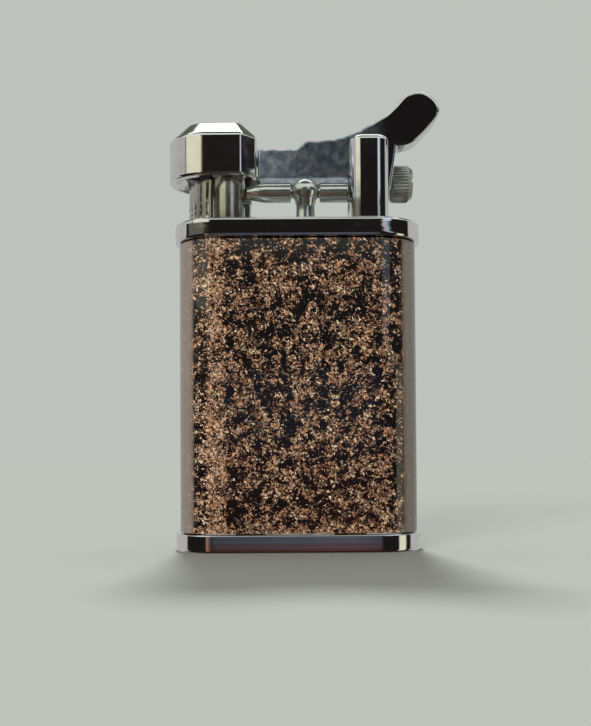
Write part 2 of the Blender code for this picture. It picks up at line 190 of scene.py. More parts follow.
def loft(name, rings, ring_closed=False, sharp=35):
    """A solid through rings of points. Its ends are capped, or joined to each other if ring_closed."""
    shape = bmesh.new()
    loops = [[shape.verts.new(Vector(point) * MM) for point in ring] for ring in rings]
    around = len(loops[0])
    pairs = list(zip(loops, loops[1:]))
    if ring_closed:
        pairs.append((loops[-1], loops[0]))
    else:
        shape.faces.new(loops[0])
        shape.faces.new(loops[-1])
    for lower, upper in pairs:
        for i in range(around):
            j = (i + 1) % around
            shape.faces.new((lower[i], lower[j], upper[j], upper[i]))
    return new_piece(name, shape, sharp)


def circle(radius, height, steps, tooth=0.0, teeth=0):
    """A ring of points, with rounded teeth of that depth cut into it."""
    ring = []
    for i in range(steps):
        turn = 2 * math.pi * i / steps
        reach = radius - tooth * (0.5 - 0.5 * math.cos(teeth * turn))
        ring.append((reach * math.cos(turn), reach * math.sin(turn), height))
    return ring


def rounded_box(centre, half_x, half_y, radius, inset, height):
    """A ring of points round a rectangle with round corners, drawn in by inset."""
    ring = []
    for quarter, (sign_x, sign_y) in enumerate([(1, 1), (-1, 1), (-1, -1), (1, -1)]):
        for i in range(CORNER_STEPS + 1):
            turn = math.pi / 2 * (quarter + i / CORNER_STEPS)
            x = centre[0] + sign_x * (half_x - radius) + (radius - inset) * math.cos(turn)
            y = centre[1] + sign_y * (half_y - radius) + (radius - inset) * math.sin(turn)
            ring.append((x, y, height))
    return ring


def plate_outline(inset, height):
    """The plates' plan, drawn in by inset."""
    return rounded_box((0, 0), PLATE_WIDTH / 2, PLATE_DEPTH / 2, PLATE_RADIUS, inset, height)


def post_outline(inset, height):
    """The arm post's plan: long and narrow with well rounded corners."""
    half_x = (POST_HIGH.x - POST_LOW.x) / 2
    half_y = (POST_HIGH.y - POST_LOW.y) / 2
    centre = (PIVOT.x, (POST_HIGH.y + POST_LOW.y) / 2)
    return rounded_box(centre, half_x, half_y, POST_RADIUS, inset, height)


def sleeve_outline(inset, height):
    """A point of the burner sleeve's outer profile, drawn in by inset."""
    return (SLEEVE_RADIUS - inset, height)


def quarter_turns(steps):
    """Angles from 0 to a right angle."""
    return [math.pi / 2 * i / steps for i in range(steps + 1)]


def lower_edge(outline, radius, low, steps, inset=0.0):
    """An outline's rings up a bottom edge of that radius."""
    rings = []
    for t in quarter_turns(steps):
        rings.append(outline(inset + radius * (1 - math.sin(t)), low + radius * (1 - math.cos(t))))
    return rings


def upper_edge(outline, radius, high, steps, inset=0.0):
    """An outline's rings up a top edge of that radius."""
    rings = []
    for t in quarter_turns(steps):
        rings.append(outline(inset + radius * (1 - math.cos(t)), high - radius * (1 - math.sin(t))))
    return rings


def bowed(outline, low, high, bulge, steps=5):
    """An outline's rings up a side that bows out by bulge at mid-height."""
    rings = []
    for i in range(1, steps):
        t = i / steps
        rings.append(outline(bulge * (2 * t - 1) ** 2, low + (high - low) * t))
    return rings


def put(piece, at, axis="Z"):
    """Places a piece whose own +Z is to point along axis, and makes that its rest shape."""
    piece.location = Vector(at) * MM
    if axis == "X":
        piece.rotation_euler = (0, math.pi / 2, 0)
    if axis == "Y":
        piece.rotation_euler = (-math.pi / 2, 0, 0)
    bpy.context.view_layer.update()
    piece.data.transform(piece.matrix_world)
    piece.location = (0, 0, 0)
    piece.rotation_euler = (0, 0, 0)
    return piece


def turned(name, profile, at, axis="Z", steps=64, hollow=False):
    """A round solid from (radius, height) points. A hollow one's profile is a closed loop."""
    rings = [circle(radius, height, steps) for radius, height in profile]
    return put(loft(name, rings, ring_closed=hollow), at, axis)


def prism(name, outline, low, high, axis="Z"):
    """An outline pushed along an axis: (x, y) points along Z, (x, z) along Y, (y, z) along X."""
    order = {"Z": (0, 1, 2), "Y": (0, 2, 1), "X": (2, 0, 1)}[axis]
    rings = []
    for height in (low, high):
        rings.append([tuple((*point, height)[i] for i in order) for point in outline])
    return loft(name, rings)


def block(name, low, high):
    """A box between two corners."""
    outline = [(low[0], low[1]), (high[0], low[1]), (high[0], high[1]), (low[0], high[1])]
    return prism(name, outline, low[2], high[2])


def drill(radius, low, high, at, axis="Z"):
    """A round cutter from low to high along an axis through a place."""
    return turned("drill", [(radius, low), (radius, high)], at, axis, steps=48)


def smooth_line(points, steps):
    """A Catmull-Rom curve through the points, from the first to the last."""
    curve = []
    last = len(points) - 1
    for i in range(last):
        a, b, c, d = (Vector(points[min(max(i + k, 0), last)]) for k in (-1, 0, 1, 2))
        for j in range(steps):
            t = j / steps
            point = 2 * b + (c - a) * t
            point += (2 * a - 5 * b + 4 * c - d) * t**2
            point += (3 * b - a - 3 * c + d) * t**3
            curve.append(tuple(point / 2))
    curve.append(tuple(points[-1]))
    return curve


def apply_modifiers(piece):
    """Bakes a piece's modifiers into its mesh."""
    bpy.context.view_layer.update()
    graph = bpy.context.evaluated_depsgraph_get()
    mesh = bpy.data.meshes.new_from_object(piece.evaluated_get(graph))
    piece.modifiers.clear()
    piece.data = mesh
    return piece


def combine(piece, others, operation):
    """Joins other pieces to a piece or cuts them from it, and removes them."""
    for other in others:
        modifier = piece.modifiers.new("combine", "BOOLEAN")
        modifier.operation = operation
        modifier.object = other
    apply_modifiers(piece)
    for other in others:
        bpy.data.objects.remove(other, do_unlink=True)
    return piece


def cut(piece, *others):
    return combine(piece, others, "DIFFERENCE")


def join(piece, *others):
    return combine(piece, others, "UNION")


def soften(piece, width, segments, angle=32, clamp=True):
    """Rounds a piece's edges a little, as plating and polishing do, and keeps its flats flat."""
    bevel = piece.modifiers.new("soften", "BEVEL")
    bevel.width = width * MM
    bevel.segments = segments
    bevel.limit_method = "ANGLE"
    bevel.use_clamp_overlap = clamp
    bevel.angle_limit = math.radians(angle)
    flats = piece.modifiers.new("flats", "WEIGHTED_NORMAL")
    flats.keep_sharp = True
    return apply_modifiers(piece)


def finish_piece(piece, material, body, slot, *nodes):
    """Gives a fine piece its material and body, and lets it stand for its CAD nodes."""
    piece.data.materials.clear()
    piece.data.materials.append(material)
    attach(piece, body)
    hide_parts(*nodes)
    return piece


# Material nodes


def add(tree, kind, inputs=None, **settings):
    """A node with its settings, and its inputs linked or set."""
    made = tree.nodes.new(kind)
    for name, value in settings.items():
        setattr(made, name, value)
    for name, value in (inputs or {}).items():
        if isinstance(value, bpy.types.NodeSocket):
            tree.links.new(value, made.inputs[name])
        else:
            made.inputs[name].default_value = value
    return made


def feed(tree, shader, outputs):
    """Links outputs to the shader's inputs, by the inputs' names."""
    for name, output in outputs.items():
        tree.links.new(output, shader.inputs[name])


def opaque(colour, share=1.0):
    """A colour darkened to a share of itself, with its alpha."""
    return (*[channel * share for channel in colour], 1.0)


def maths(tree, operation, first, second=0.0, clamp=False):
    made = add(tree, "ShaderNodeMath", {0: first, 1: second}, operation=operation)
    made.use_clamp = clamp
    return made.outputs[0]


def plus(tree, value, layer, share, clamp=False):
    """A value with a share of a layer on top."""
    return maths(tree, "ADD", value, maths(tree, "MULTIPLY", layer, share), clamp)


def vector_maths(tree, operation, inputs):
    return add(tree, "ShaderNodeVectorMath", inputs, operation=operation).outputs[0]


def axes_of(tree, vector):
    """A vector's outputs by axis."""
    return add(tree, "ShaderNodeSeparateXYZ", {0: vector}).outputs


def mixed(tree, factor, first, second):
    """A number between two."""
    return add(tree, "ShaderNodeMix", {0: factor, 2: first, 3: second}).outputs[0]


def blended(tree, factor, first, second):
    """A colour between two."""
    inputs = {0: factor, 6: first, 7: second}
    return add(tree, "ShaderNodeMix", inputs, data_type="RGBA").outputs[2]


def ramp(tree, factor, stops):
    """A colour ramp through (position, colour) stops."""
    made = add(tree, "ShaderNodeValToRGB", {"Fac": factor})
    elements = made.color_ramp.elements
    while len(elements) < len(stops):
        elements.new(0.5)
    for element, (position, colour) in zip(elements, stops):
        element.position = position
        element.color = opaque(colour)
    return made.outputs["Color"]


def spread(tree, value, low, high, to_low=0.0, to_high=1.0):
    """Value's low to high span stretched to another, clamped."""
    inputs = {"Value": value, "From Min": low, "From Max": high, "To Min": to_low, "To Max": to_high}
    return add(tree, "ShaderNodeMapRange", inputs).outputs["Result"]


def place_mm(tree):
    """The surface's place at rest, in millimetres."""
    coordinates = add(tree, "ShaderNodeTexCoord").outputs["Object"]
    return vector_maths(tree, "SCALE", {0: coordinates, "Scale": 1 / MM})


def noise(tree, place, scale, detail=2.0, roughness=0.5, output="Fac"):
    inputs = {"Vector": place, "Scale": scale, "Detail": detail, "Roughness": roughness}
    return add(tree, "ShaderNodeTexNoise", inputs).outputs[output]


def cells(tree, place, scale):
    """Random cells' outputs: each cell's own colour, and the distance from its middle."""
    return add(tree, "ShaderNodeTexVoronoi", {"Vector": place, "Scale": scale}).outputs


def stretched(tree, place, scale, turn=(0, 0, 0)):
    """A place turned, then scaled along each axis."""
    inputs = {"Vector": place, "Scale": [1 / share for share in scale], "Rotation": turn}
    return add(tree, "ShaderNodeMapping", inputs, vector_type="TEXTURE").outputs[0]


def bump(tree, height, strength, distance_mm, normal=None):
    inputs = {"Height": height, "Strength": strength, "Distance": distance_mm * MM}
    if normal:
        inputs["Normal"] = normal
    return add(tree, "ShaderNodeBump", inputs).outputs[0]


def new_material(name, colour, roughness, metallic):
    """A material, its tree and its Principled shader."""
    material = bpy.data.materials.new(name)
    material.use_nodes = True
    tree = material.node_tree
    shader = tree.nodes["Principled BSDF"]
    shader.inputs["Base Color"].default_value = opaque(colour)
    shader.inputs["Roughness"].default_value = roughness
    shader.inputs["Metallic"].default_value = metallic
    return material, tree, shader


# Materials


def scratches(tree, place):
    """Hairline scratches in two directions, from 0 to 1, and only here and there."""
    total = 0.0
    for turn in (0.5, -1.1):
        lines = noise(tree, stretched(tree, place, (9.0, 0.35, 0.35), (0, turn, turn)), 1.6, 1.0)
        line = spread(tree, lines, 0.66, 0.72)
        total = maths(tree, "ADD", line, total, clamp=True)
    patches = spread(tree, noise(tree, place, 0.35, 1.0), 0.45, 0.62)
    return maths(tree, "MULTIPLY", total, patches)


def make_chrome(name, colour, low=0.035, high=0.11, wave=0.25):
    """Bright plating: slight ripple from the metal below, smudges, hairline scratches and pin-prick pits."""
    material, tree, shader = new_material(name, colour, low, 1.0)
    place = place_mm(tree)
    smudge = noise(tree, place, 0.45, 4.0, 0.6)
    lines = scratches(tree, place)
    pits = spread(tree, cells(tree, place, 1.3)["Distance"], 0.05, 0.02)
    rough = spread(tree, smudge, 0.35, 0.7, low, high)
    rough = plus(tree, rough, lines, 0.08)
    rough = plus(tree, rough, pits, 0.25)
    shade = blended(tree, spread(tree, smudge, 0.3, 0.75), opaque(colour), opaque(colour, 0.9))
    ripple = bump(tree, noise(tree, place, 0.5, 1.0), wave, 0.02)
    marked = bump(tree, maths(tree, "ADD", lines, pits), 0.3, -0.002, ripple)
    feed(tree, shader, {"Base Color": shade, "Roughness": rough, "Normal": marked})
    return material


STAIN_TONES = [
    (0.3, (0.13, 0.16, 0.21)),
    (0.48, (0.32, 0.38, 0.46)),
    (0.6, (0.55, 0.6, 0.66)),
    (0.75, (0.5, 0.36, 0.36)),
]


def make_brushed_chrome():
    """The arm: darkened and mottled over its flat, polished to a mirror on the thumb piece."""
    material, tree, shader = new_material("brushed_chrome", (0.5, 0.53, 0.58), 0.2, 1.0)
    place = place_mm(tree)
    x = axes_of(tree, place)["X"]
    polished = spread(tree, plus(tree, x, noise(tree, place, 0.9, 2.0), 1.5), 10.5, 13.5)
    metal = mixed(tree, polished, spread(tree, x, 2.0, -5.0, 0.93, 0.78), 1.0)
    grain = noise(tree, stretched(tree, place, (3.0, 3.0, 1.2)), 1.5, 4.0, 0.7)
    rough = mixed(tree, polished, spread(tree, grain, 0.3, 0.7, 0.09, 0.25), 0.05)
    stain = ramp(tree, noise(tree, place, 0.8, 5.0, 0.7), STAIN_TONES)
    shade = blended(tree, polished, stain, (0.72, 0.73, 0.75, 1.0))
    relief = maths(tree, "MULTIPLY", grain, maths(tree, "SUBTRACT", 1.0, polished))
    ripple = bump(tree, noise(tree, place, 0.5, 1.0), 0.2, 0.02)
    rugged = bump(tree, relief, 0.5, 0.02, ripple)
    feed(tree, shader, {"Base Color": shade, "Roughness": rough, "Metallic": metal, "Normal": rugged})
    return material


def make_satin(name, colour, low, high, grain_scale=(1.0, 1.0, 6.0), metallic=1.0):
    """Turned or brushed metal with fine lines and faint stains."""
    material, tree, shader = new_material(name, colour, low, metallic)
    place = place_mm(tree)
    grain = noise(tree, stretched(tree, place, grain_scale), 2.0, 3.0, 0.6)
    rough = spread(tree, grain, 0.3, 0.7, low, high)
    stain = spread(tree, noise(tree, place, 0.8, 4.0, 0.6), 0.35, 0.75)
    shade = blended(tree, stain, opaque(colour), opaque(colour, 0.72))
    feed(tree, shader, {"Base Color": shade, "Roughness": rough, "Normal": bump(tree, grain, 0.3, 0.01)})
    return material


def make_soft(name, colour, roughness):
    """Moulded plastic or rubber with a fine grain."""
    material, tree, shader = new_material(name, colour, roughness, 0.0)
    place = place_mm(tree)
    grain = noise(tree, place, 6.0, 3.0, 0.6)
    rough = spread(tree, grain, 0.3, 0.7, roughness - 0.08, roughness + 0.1)
    cloud = spread(tree, noise(tree, place, 0.7, 2.0), 0.35, 0.65)
    shade = blended(tree, cloud, opaque(colour), opaque(colour, 0.85))
    feed(tree, shader, {"Base Color": shade, "Roughness": rough, "Normal": bump(tree, grain, 0.3, 0.01)})
    return material


# The wrap's pattern: its band's place, its chips from large to small and its fibres' lie

BAND_X = -11.5
# Painted reflection at the wrap's rounded sides: a tan strip from the first distance out from the middle to the
# second, in the tan colour below.
SIDE_REFLECTION_START = 14.6
SIDE_REFLECTION_END = 15.0
WRAP_BLACK = (0.0035, 0.0025, 0.0035, 1.0)
SIDE_REFLECTION_TAN = (0.17, 0.135, 0.11, 1.0)
FIBRE_TONE = (0.6, 0.44, 0.32, 1.0)
CHIPS = [
    {"scale": 1.9, "turn": 0.5, "share": 0.35},
    {"scale": 2.3, "turn": -0.6, "share": 0.4},
    {"scale": 2.8, "turn": 1.3, "share": 0.45},
    {"scale": 3.4, "turn": 0.1, "share": 0.5},
    {"scale": 6.0, "turn": 0, "share": 0.3},
]
FIBRES = [
    {"turn": 0.5, "share": 0.06},
    {"turn": 0.2, "share": 0.06},
    {"turn": -0.6, "share": 0.04},
]
FLECK_TONES = [
    (0.0, (0.08, 0.038, 0.024)),
    (0.3, (0.25, 0.12, 0.07)),
    (0.55, (0.5, 0.275, 0.155)),
    (0.8, (0.68, 0.45, 0.28)),
    (0.92, (0.95, 0.78, 0.57)),
    (1.0, (0.65, 0.22, 0.07)),
]


def streaks(tree, place, turn, share):
    """A few thin bright fibres lying one way, from 0 to 1."""
    cell = cells(tree, stretched(tree, place, (0.6, 0.6, 6.0), (0, -turn, 0)), 1.0)
    picked = maths(tree, "GREATER_THAN", cell["Color"], 1.0 - share)
    return maths(tree, "MULTIPLY", picked, spread(tree, cell["Distance"], 0.36, 0.26))


def flecks(tree, place, scale, density):
    """Ragged chips that fill a share of the surface: whether one is here, and its own random shade."""
    cell = cells(tree, place, scale)
    chance = add(tree, "ShaderNodeSeparateColor", {0: cell["Color"]}).outputs
    here = maths(tree, "GREATER_THAN", density, chance[0])
    shape = spread(tree, cell["Distance"], 0.62, 0.42)
    return maths(tree, "MULTIPLY", here, shape), chance[1]


def fleck_density(tree, place, axes):
    """How crowded the flecks are: in clusters, more in a band at the left and along the foot."""
    clusters = spread(tree, noise(tree, place, 0.6, 3.0, 0.7), 0.44, 0.6, 0.06, 0.7)
    from_band = maths(tree, "ABSOLUTE", maths(tree, "SUBTRACT", axes["X"], BAND_X))
    left = spread(tree, from_band, 1.5, 0.9, 0.0, 0.45)
    foot = spread(tree, axes["Z"], WRAP_LOW.z + 1.5, WRAP_LOW.z, 0.0, 0.5)
    return maths(tree, "ADD", clusters, maths(tree, "ADD", left, foot))


def ragged_place(tree, place):
    """The place pushed about a little, which makes the flecks' edges ragged."""
    push = noise(tree, place, 2.2, 3.0, 0.7, "Color")
    push = vector_maths(tree, "SUBTRACT", {0: push, 1: (0.5, 0.5, 0.5)})
    push = vector_maths(tree, "SCALE", {0: push, "Scale": 0.9})
    return vector_maths(tree, "ADD", {0: place, 1: push})


def fleck_pattern(tree, place):
    """The wrap's colour, with tan strips of painted reflection at both rounded sides, and how far its flecks stand
    up.
    """
    axes = axes_of(tree, place)
    ragged = ragged_place(tree, place)
    density = fleck_density(tree, place, axes)
    grain = spread(tree, noise(tree, place, 4.0, 3.0, 0.75), 0.38, 0.58, 0.25, 1.0)
    colour = WRAP_BLACK
    relief = 0.0
    for layer in CHIPS:
        strokes = stretched(tree, ragged, (0.75, 0.75, 2.0), (0, layer["turn"], 0))
        share = maths(tree, "MULTIPLY", density, layer["share"])
        chip, shade = flecks(tree, strokes, layer["scale"], share)
        cover = maths(tree, "MULTIPLY", chip, grain)
        colour = blended(tree, cover, colour, ramp(tree, shade, FLECK_TONES))
        relief = plus(tree, relief, cover, 0.5, clamp=True)
    for layer in FIBRES:
        fibre = maths(tree, "MULTIPLY", streaks(tree, ragged, layer["turn"], layer["share"]), 0.6)
        colour = blended(tree, fibre, colour, FIBRE_TONE)
    # Painted reflection: tan strips over the flecks at both rounded sides.
    side_reflection = spread(tree, maths(tree, "ABSOLUTE", axes["X"]), SIDE_REFLECTION_START, SIDE_REFLECTION_END, 0.0, 0.85)
    return blended(tree, side_reflection, colour, SIDE_REFLECTION_TAN), relief


def make_fleck_wrap():
    """Copper and tan flecks in clusters, and thin pale fibres, on near-black under clear gloss."""
    material, tree, shader = new_material("fleck_wrap", (0.2, 0.1, 0.06), 0.5, 0.0)
    place = place_mm(tree)
    colour, relief = fleck_pattern(tree, place)
    rough = spread(tree, relief, 0.0, 1.0, 0.6, 0.4)
    feed(tree, shader, {"Base Color": colour, "Roughness": rough, "Normal": bump(tree, relief, 0.35, 0.05)})
    shader.inputs["Specular IOR Level"].default_value = 0.15
    shader.inputs["Coat Weight"].default_value = 1.0
    shader.inputs["Coat Roughness"].default_value = 0.05
    shader.inputs["Coat IOR"].default_value = 1.62
    gloss = bump(tree, noise(tree, place, 0.5, 2.0), 0.1, 0.03)
    gloss = bump(tree, scratches(tree, place), 0.2, -0.003, gloss)
    feed(tree, shader, {"Coat Normal": gloss})
    return material


CHROME = make_chrome("chrome", (0.82, 0.82, 0.83))
WORN_CHROME = make_chrome("worn_chrome", (0.8, 0.8, 0.8), 0.05, 0.14, 0.5)
BRUSHED = make_brushed_chrome()
ROD = make_satin("satin_chrome", (0.66, 0.69, 0.65), 0.12, 0.22, (3.0, 1.0, 1.0), 0.95)
DULL = make_satin("dull_chrome", (0.58, 0.57, 0.5), 0.14, 0.26, (4.0, 4.0, 0.6), 0.98)
KNOB = make_satin("satin_knob", (0.46, 0.46, 0.44), 0.25, 0.4, (1.0, 4.0, 4.0), 0.8)
STEEL = make_satin("steel", (0.5, 0.5, 0.51), 0.25, 0.42)
BRASS = make_satin("brass", (0.78, 0.58, 0.29), 0.2, 0.36)
FLINT = make_satin("flint_alloy", (0.24, 0.22, 0.21), 0.5, 0.7)
WRAP = make_fleck_wrap()
TANK = make_soft("tank_plastic", (0.85, 0.85, 0.8), 0.35)
RUBBER = make_soft("seal_rubber", (0.03, 0.03, 0.03), 0.65)
SLOT_MATERIALS = {
    "chrome": CHROME,
    "brushed_chrome": BRUSHED,
    "steel": STEEL,
    "brass": BRASS,
    "fleck_wrap": WRAP,
    "tank_plastic": TANK,
    "seal_rubber": RUBBER,
    "flint_alloy": FLINT,
}


def dress_cad_nodes():
    """Every CAD node gets its slot's material, also the ones that fine pieces replace."""
    for part in frame["record"]["subparts"]:
        mesh = frame["nodes"][part["node"]].data
        mesh.materials.clear()
        mesh.materials.append(SLOT_MATERIALS[part["material_slot"]])


# The pieces


def make_base_plate():
    """The plate at the foot, with the holes for the fill valve and the flame adjuster."""
    low, high = BASE_LOW.z, BASE_HIGH.z
    rings = lower_edge(plate_outline, BASE_FOOT, low, 5)
    rings += bowed(plate_outline, low + BASE_FOOT, high - BASE_LIP, BASE_BULGE)
    rings += upper_edge(plate_outline, BASE_LIP, high, 5)
    plate = loft("base_plate_fine", rings)
    below, above = low - 1, high + 1
    cut(
        plate,
        drill(FILL_HOLE, below, above, (*FILL, 0)),
        drill(ADJUSTER_HOLE, below, above, (ADJUSTER.x, ADJUSTER.y, 0)),
    )
    finish_piece(plate, CHROME, "body", "chrome", "base_plate")


def make_top_plate():
    """The plate at the shoulder, with the burner's hole and the screws' holes."""
    low, high = TOP_LOW.z, TOP_HIGH.z
    rings = lower_edge(plate_outline, TOP_LIP, low, 3)
    rings += bowed(plate_outline, low + TOP_LIP, high - TOP_ROUND, TOP_BULGE)
    rings += upper_edge(plate_outline, TOP_ROUND, high, 8)
    plate = loft("top_plate_fine", rings)
    cut(
        plate,
        drill(BURNER_HOLE, BELOW_TOP, ABOVE_TOP, (BURNER.x, BURNER.y, 0)),
        drill(STEM_HOLE, STEM_END, ABOVE_TOP, (BALL.x, BALL.y, 0)),
        drill(BRACKET_HOLE, BRACKET_HOLE_END, ABOVE_TOP, (*BRACKET_SCREW, 0)),
        drill(POST_HOLE, BELOW_TOP, ABOVE_TOP, (*POST_SCREW, 0)),
        drill(POST_HEAD_HOLE, BELOW_TOP, POST_HEAD_END, (*POST_SCREW, 0)),
    )
    finish_piece(plate, CHROME, "body", "chrome", "top_plate")


def make_wrap():
    """The flecked sleeve between the plates, open at both ends."""
    low, high = WRAP_LOW.z, WRAP_HIGH.z
    inset = (PLATE_WIDTH - (WRAP_HIGH.x - WRAP_LOW.x)) / 2
    rings = lower_edge(plate_outline, WRAP_LIP, low, 3, inset)
    rings += upper_edge(plate_outline, WRAP_LIP, high, 3, inset)
    rings += [plate_outline(inset + WRAP_WALL, high), plate_outline(inset + WRAP_WALL, low)]
    wrap = loft("body_wrap_fine", rings, ring_closed=True)
    finish_piece(wrap, WRAP, "body", "fleck_wrap", "body_wrap")


def make_burner_sleeve():
    """The tube round the nozzle, narrowed at its mouth and slotted for the gas lever's tongue."""
    low, high = SLEEVE_LOW.z, SLEEVE_HIGH.z
    under_crown = high - SLEEVE_CROWN
    profile = [(SLEEVE_RADIUS - 0.08, low), (SLEEVE_RADIUS, low + 0.08)]
    profile += upper_edge(sleeve_outline, SLEEVE_ROUND, high, 4)
    profile += [(SLEEVE_MOUTH + 0.1, high), (SLEEVE_MOUTH, high - 0.1), (SLEEVE_MOUTH, under_crown)]
    profile += [(SLEEVE_BORE, under_crown), (SLEEVE_BORE, low)]
    sleeve = turned("burner_sleeve_fine", profile, (BURNER.x, BURNER.y, 0), steps=72, hollow=True)
    cut(sleeve, block("slot", (-9.8, -3.35, 49.3), (-6, -1.25, 52.3)))
    finish_piece(sleeve, DULL, "body", "chrome", "burner_sleeve")


def guard_turn(share):
    """The wind guard's angle, a share of the way round it."""
    return GUARD_FIRST + (GUARD_LAST - GUARD_FIRST) * share


def make_wind_guard():
    """A curved sheet at the left of the burner, with a row of slots."""
    outline = []
    for radius, order in ((GUARD_OUTER, range(GUARD_STEPS + 1)), (GUARD_INNER, range(GUARD_STEPS, -1, -1))):
        for i in order:
            turn = guard_turn(i / GUARD_STEPS)
            outline.append((radius * math.cos(turn), radius * math.sin(turn)))
    guard = put(prism("wind_guard_fine", outline, GUARD_LOW.z, GUARD_HIGH.z), GUARD_CENTRE)
    cutters = []
    for i in range(GUARD_SLOTS):
        slot = block("slot", (3.5, -0.18, 48.2), (5.5, 0.18, 49.6))
        slot.rotation_euler = (0, 0, guard_turn((i + 0.5) / GUARD_SLOTS))
        slot.location = Vector(GUARD_CENTRE) * MM
        cutters.append(slot)
    cut(guard, *cutters)
    finish_piece(guard, DULL, "body", "chrome", "wind_guard")


def make_arm_post():
    """The yoke that holds the arm, with a domed edge, the arm's slot and the flint screw's hole."""
    rings = [post_outline(POST_FOOT, POST_LOW.z), post_outline(0, POST_LOW.z + POST_FOOT)]
    rings += upper_edge(post_outline, POST_DOME, POST_HIGH.z, 8)
    post = loft("arm_post_fine", rings)
    front, back = ARM_FRONT - POST_SLOT_GAP, ARM_BACK + POST_SLOT_GAP
    cut(post, block("slot", (6, front, POST_SLOT_LOW), (15, back, 61)))
    soften(post, 0.1, 2, 40)
    cut(
        post,
        drill(PIN_RADIUS + 0.06, -5.1, 2.1, (PIVOT.x, 0, PIVOT.z), "Y"),
        drill(1.7, 6, 15, (0, FLINT_PIVOT.y, FLINT_PIVOT.z), "X"),
        drill(0.8, 46, 50.4, (*POST_SCREW, 0)),
    )
    finish_piece(post, CHROME, "body", "chrome", "arm_post")


def cap_outline(inset, height):
    """A half circle at the left, straight sides, and chamfered corners at the right."""
    radius = CAP_RADIUS - inset
    right = CAP_HIGH.x - inset
    corner = CAP_CUT - inset * (2 - math.sqrt(2))
    ring = []
    steps = 40
    for i in range(steps + 1):
        turn = math.pi / 2 + math.pi * i / steps
        ring.append((CAP_CENTRE + radius * math.cos(turn), radius * math.sin(turn), height))
    ring.append((right - corner, -radius, height))
    ring.append((right, corner - radius, height))
    ring.append((right, radius - corner, height))
    ring.append((right - corner, radius, height))
    return ring


def make_snuffer():
    """The hollow cap with its bevelled crown, notched at the back for the flint tube."""
    low, high = CAP_LOW.z, CAP_HIGH.z
    rings = [cap_outline(0, low), cap_outline(0, CAP_CROWN), cap_outline(CAP_BEVEL, high)]
    cap = soften(loft("snuffer_cap_fine", rings), 0.32, 5, 25)
    rings = [cap_outline(CAP_WALL, low - 1), cap_outline(CAP_WALL, CAP_CROWN - 0.5)]
    rings.append(cap_outline(CAP_WALL + 1.7, high - CAP_WALL))
    inside = loft("inside", rings)
    notch = block("notch", (-8.3, 1.2, 52), (-5, 5.2, 56.7))
    cut(cap, inside, notch, drill(0.85, -8, -5, (0, *CAP_SCREW), "X"))
    finish_piece(cap, WORN_CHROME, "lift_arm", "chrome", "snuffer_cap")


def make_lift_arm():
    """The arm, its heel and its thumb piece as one casting, with one flat front."""
    left = ARM_LOW.x
    heel = smooth_line([(8.6, 53.35), (9.4, 52.3), (10.4, 51.5), (11.4, 51.3)], 4)
    heel += smooth_line([(12.7, 51.3), (13.3, 51.5), (13.5, 52.0)], 4)
    thumb = [(14.35, 57.9), (16.7, 58.5), (19.0, 60.6), (20.55, 62.8), (19.9, 64.6), (18.0, 65.72)]
    brow = [(15.8, 65.3), (14.3, 63.8), (13.0, 62.55), (12.0, 61.95), (10.6, 61.1), (8.9, 60.15)]
    brow += [(7.2, 59.45), (5.3, 59.0), (3.3, 58.82)]
    upper = smooth_line(thumb + brow, 6)
    step = [(1.8, 58.75), (1.3, 58.65), (0.7, 58.15), (0, ARM_TOP + 0.08), (-0.7, ARM_TOP)]
    step = smooth_line(step, 4)
    outline = [(left, ARM_FOOT), (8.3, ARM_FOOT), *heel, *upper, *step, (left, ARM_TOP)]
    arm = prism("lift_arm_fine", outline, ARM_FRONT, ARM_BACK, "Y")
    cut(
        arm,
        drill(PIN_RADIUS + 0.08, -6, 3, (PIVOT.x, 0, PIVOT.z), "Y"),
        drill(0.8, -7, -2, (0, *CAP_SCREW), "X"),
    )
    arm.data.shade_smooth()
    soften(arm, 0.35, 4, 45, clamp=False)
    finish_piece(arm, BRUSHED, "lift_arm", "brushed_chrome", "lift_arm")


def make_gas_lever():
    """The see-saw rod, necked where its post holds it, with a tongue at each end."""
    x, y, z = LEVER_PIVOT
    radius = LEVER_TOP - z
    shoulder = radius - LEVER_CHAMFER
    left_neck, right_neck = x - NECK_END, x + NECK_END
    profile = [(0.7, -7.2), (0.85, -7.1), (1.0, -6.6), (1.2, -5.7), (radius, -4.6)]
    profile += [(radius, left_neck - LEVER_CHAMFER), (shoulder, left_neck), (NECK_RADIUS, left_neck)]
    profile += [(NECK_RADIUS, right_neck), (shoulder, right_neck), (radius, right_neck + LEVER_CHAMFER)]
    profile += [(radius, 7.25 - LEVER_CHAMFER), (shoulder, 7.25)]
    lever = turned("gas_lever_fine", profile, (0, y, z), "X")
    left = soften(block("left_tongue", (-8.9, -2.9, 49.85), (-6.5, -1.7, 50.75)), 0.1, 2)
    right = soften(block("right_tongue", (6.7, -3.4, 50.2), (12.6, -1.6, 51.0)), 0.1, 2)
    cut(join(lever, left, right), drill(LEVER_PIN_HOLE, -6, 0, (x, 0, z), "Y"))
    finish_piece(lever, ROD, "gas_lever", "chrome", "gas_lever")


def make_gas_lever_post():
    """The acorn: a stem, a waisted collar and a ball that the lever's neck passes through."""
    x, y, z = LEVER_PIVOT
    profile = [(0.8, -6.4), (0.8, -4.1), (1.4, -4.1), (1.34, -3.2), (1.3, -2.3), (1.35, -1.95), (1.45, -1.7)]
    steps = 21
    for i in range(steps + 1):
        turn = math.radians(-38 + 127 * i / steps)
        profile.append((BALL_RADIUS * math.cos(turn), BALL_RADIUS * math.sin(turn)))
    post = turned("gas_lever_post_fine", profile, (BALL.x, BALL.y, z))
    cut(
        post,
        drill(NECK_RADIUS + 0.3, -4, 4, (x, y, z), "X"),
        drill(LEVER_PIN_HOLE, -5.1, 0, (x, 0, z), "Y"),
    )
    finish_piece(post, ROD, "body", "chrome", "gas_lever_post")


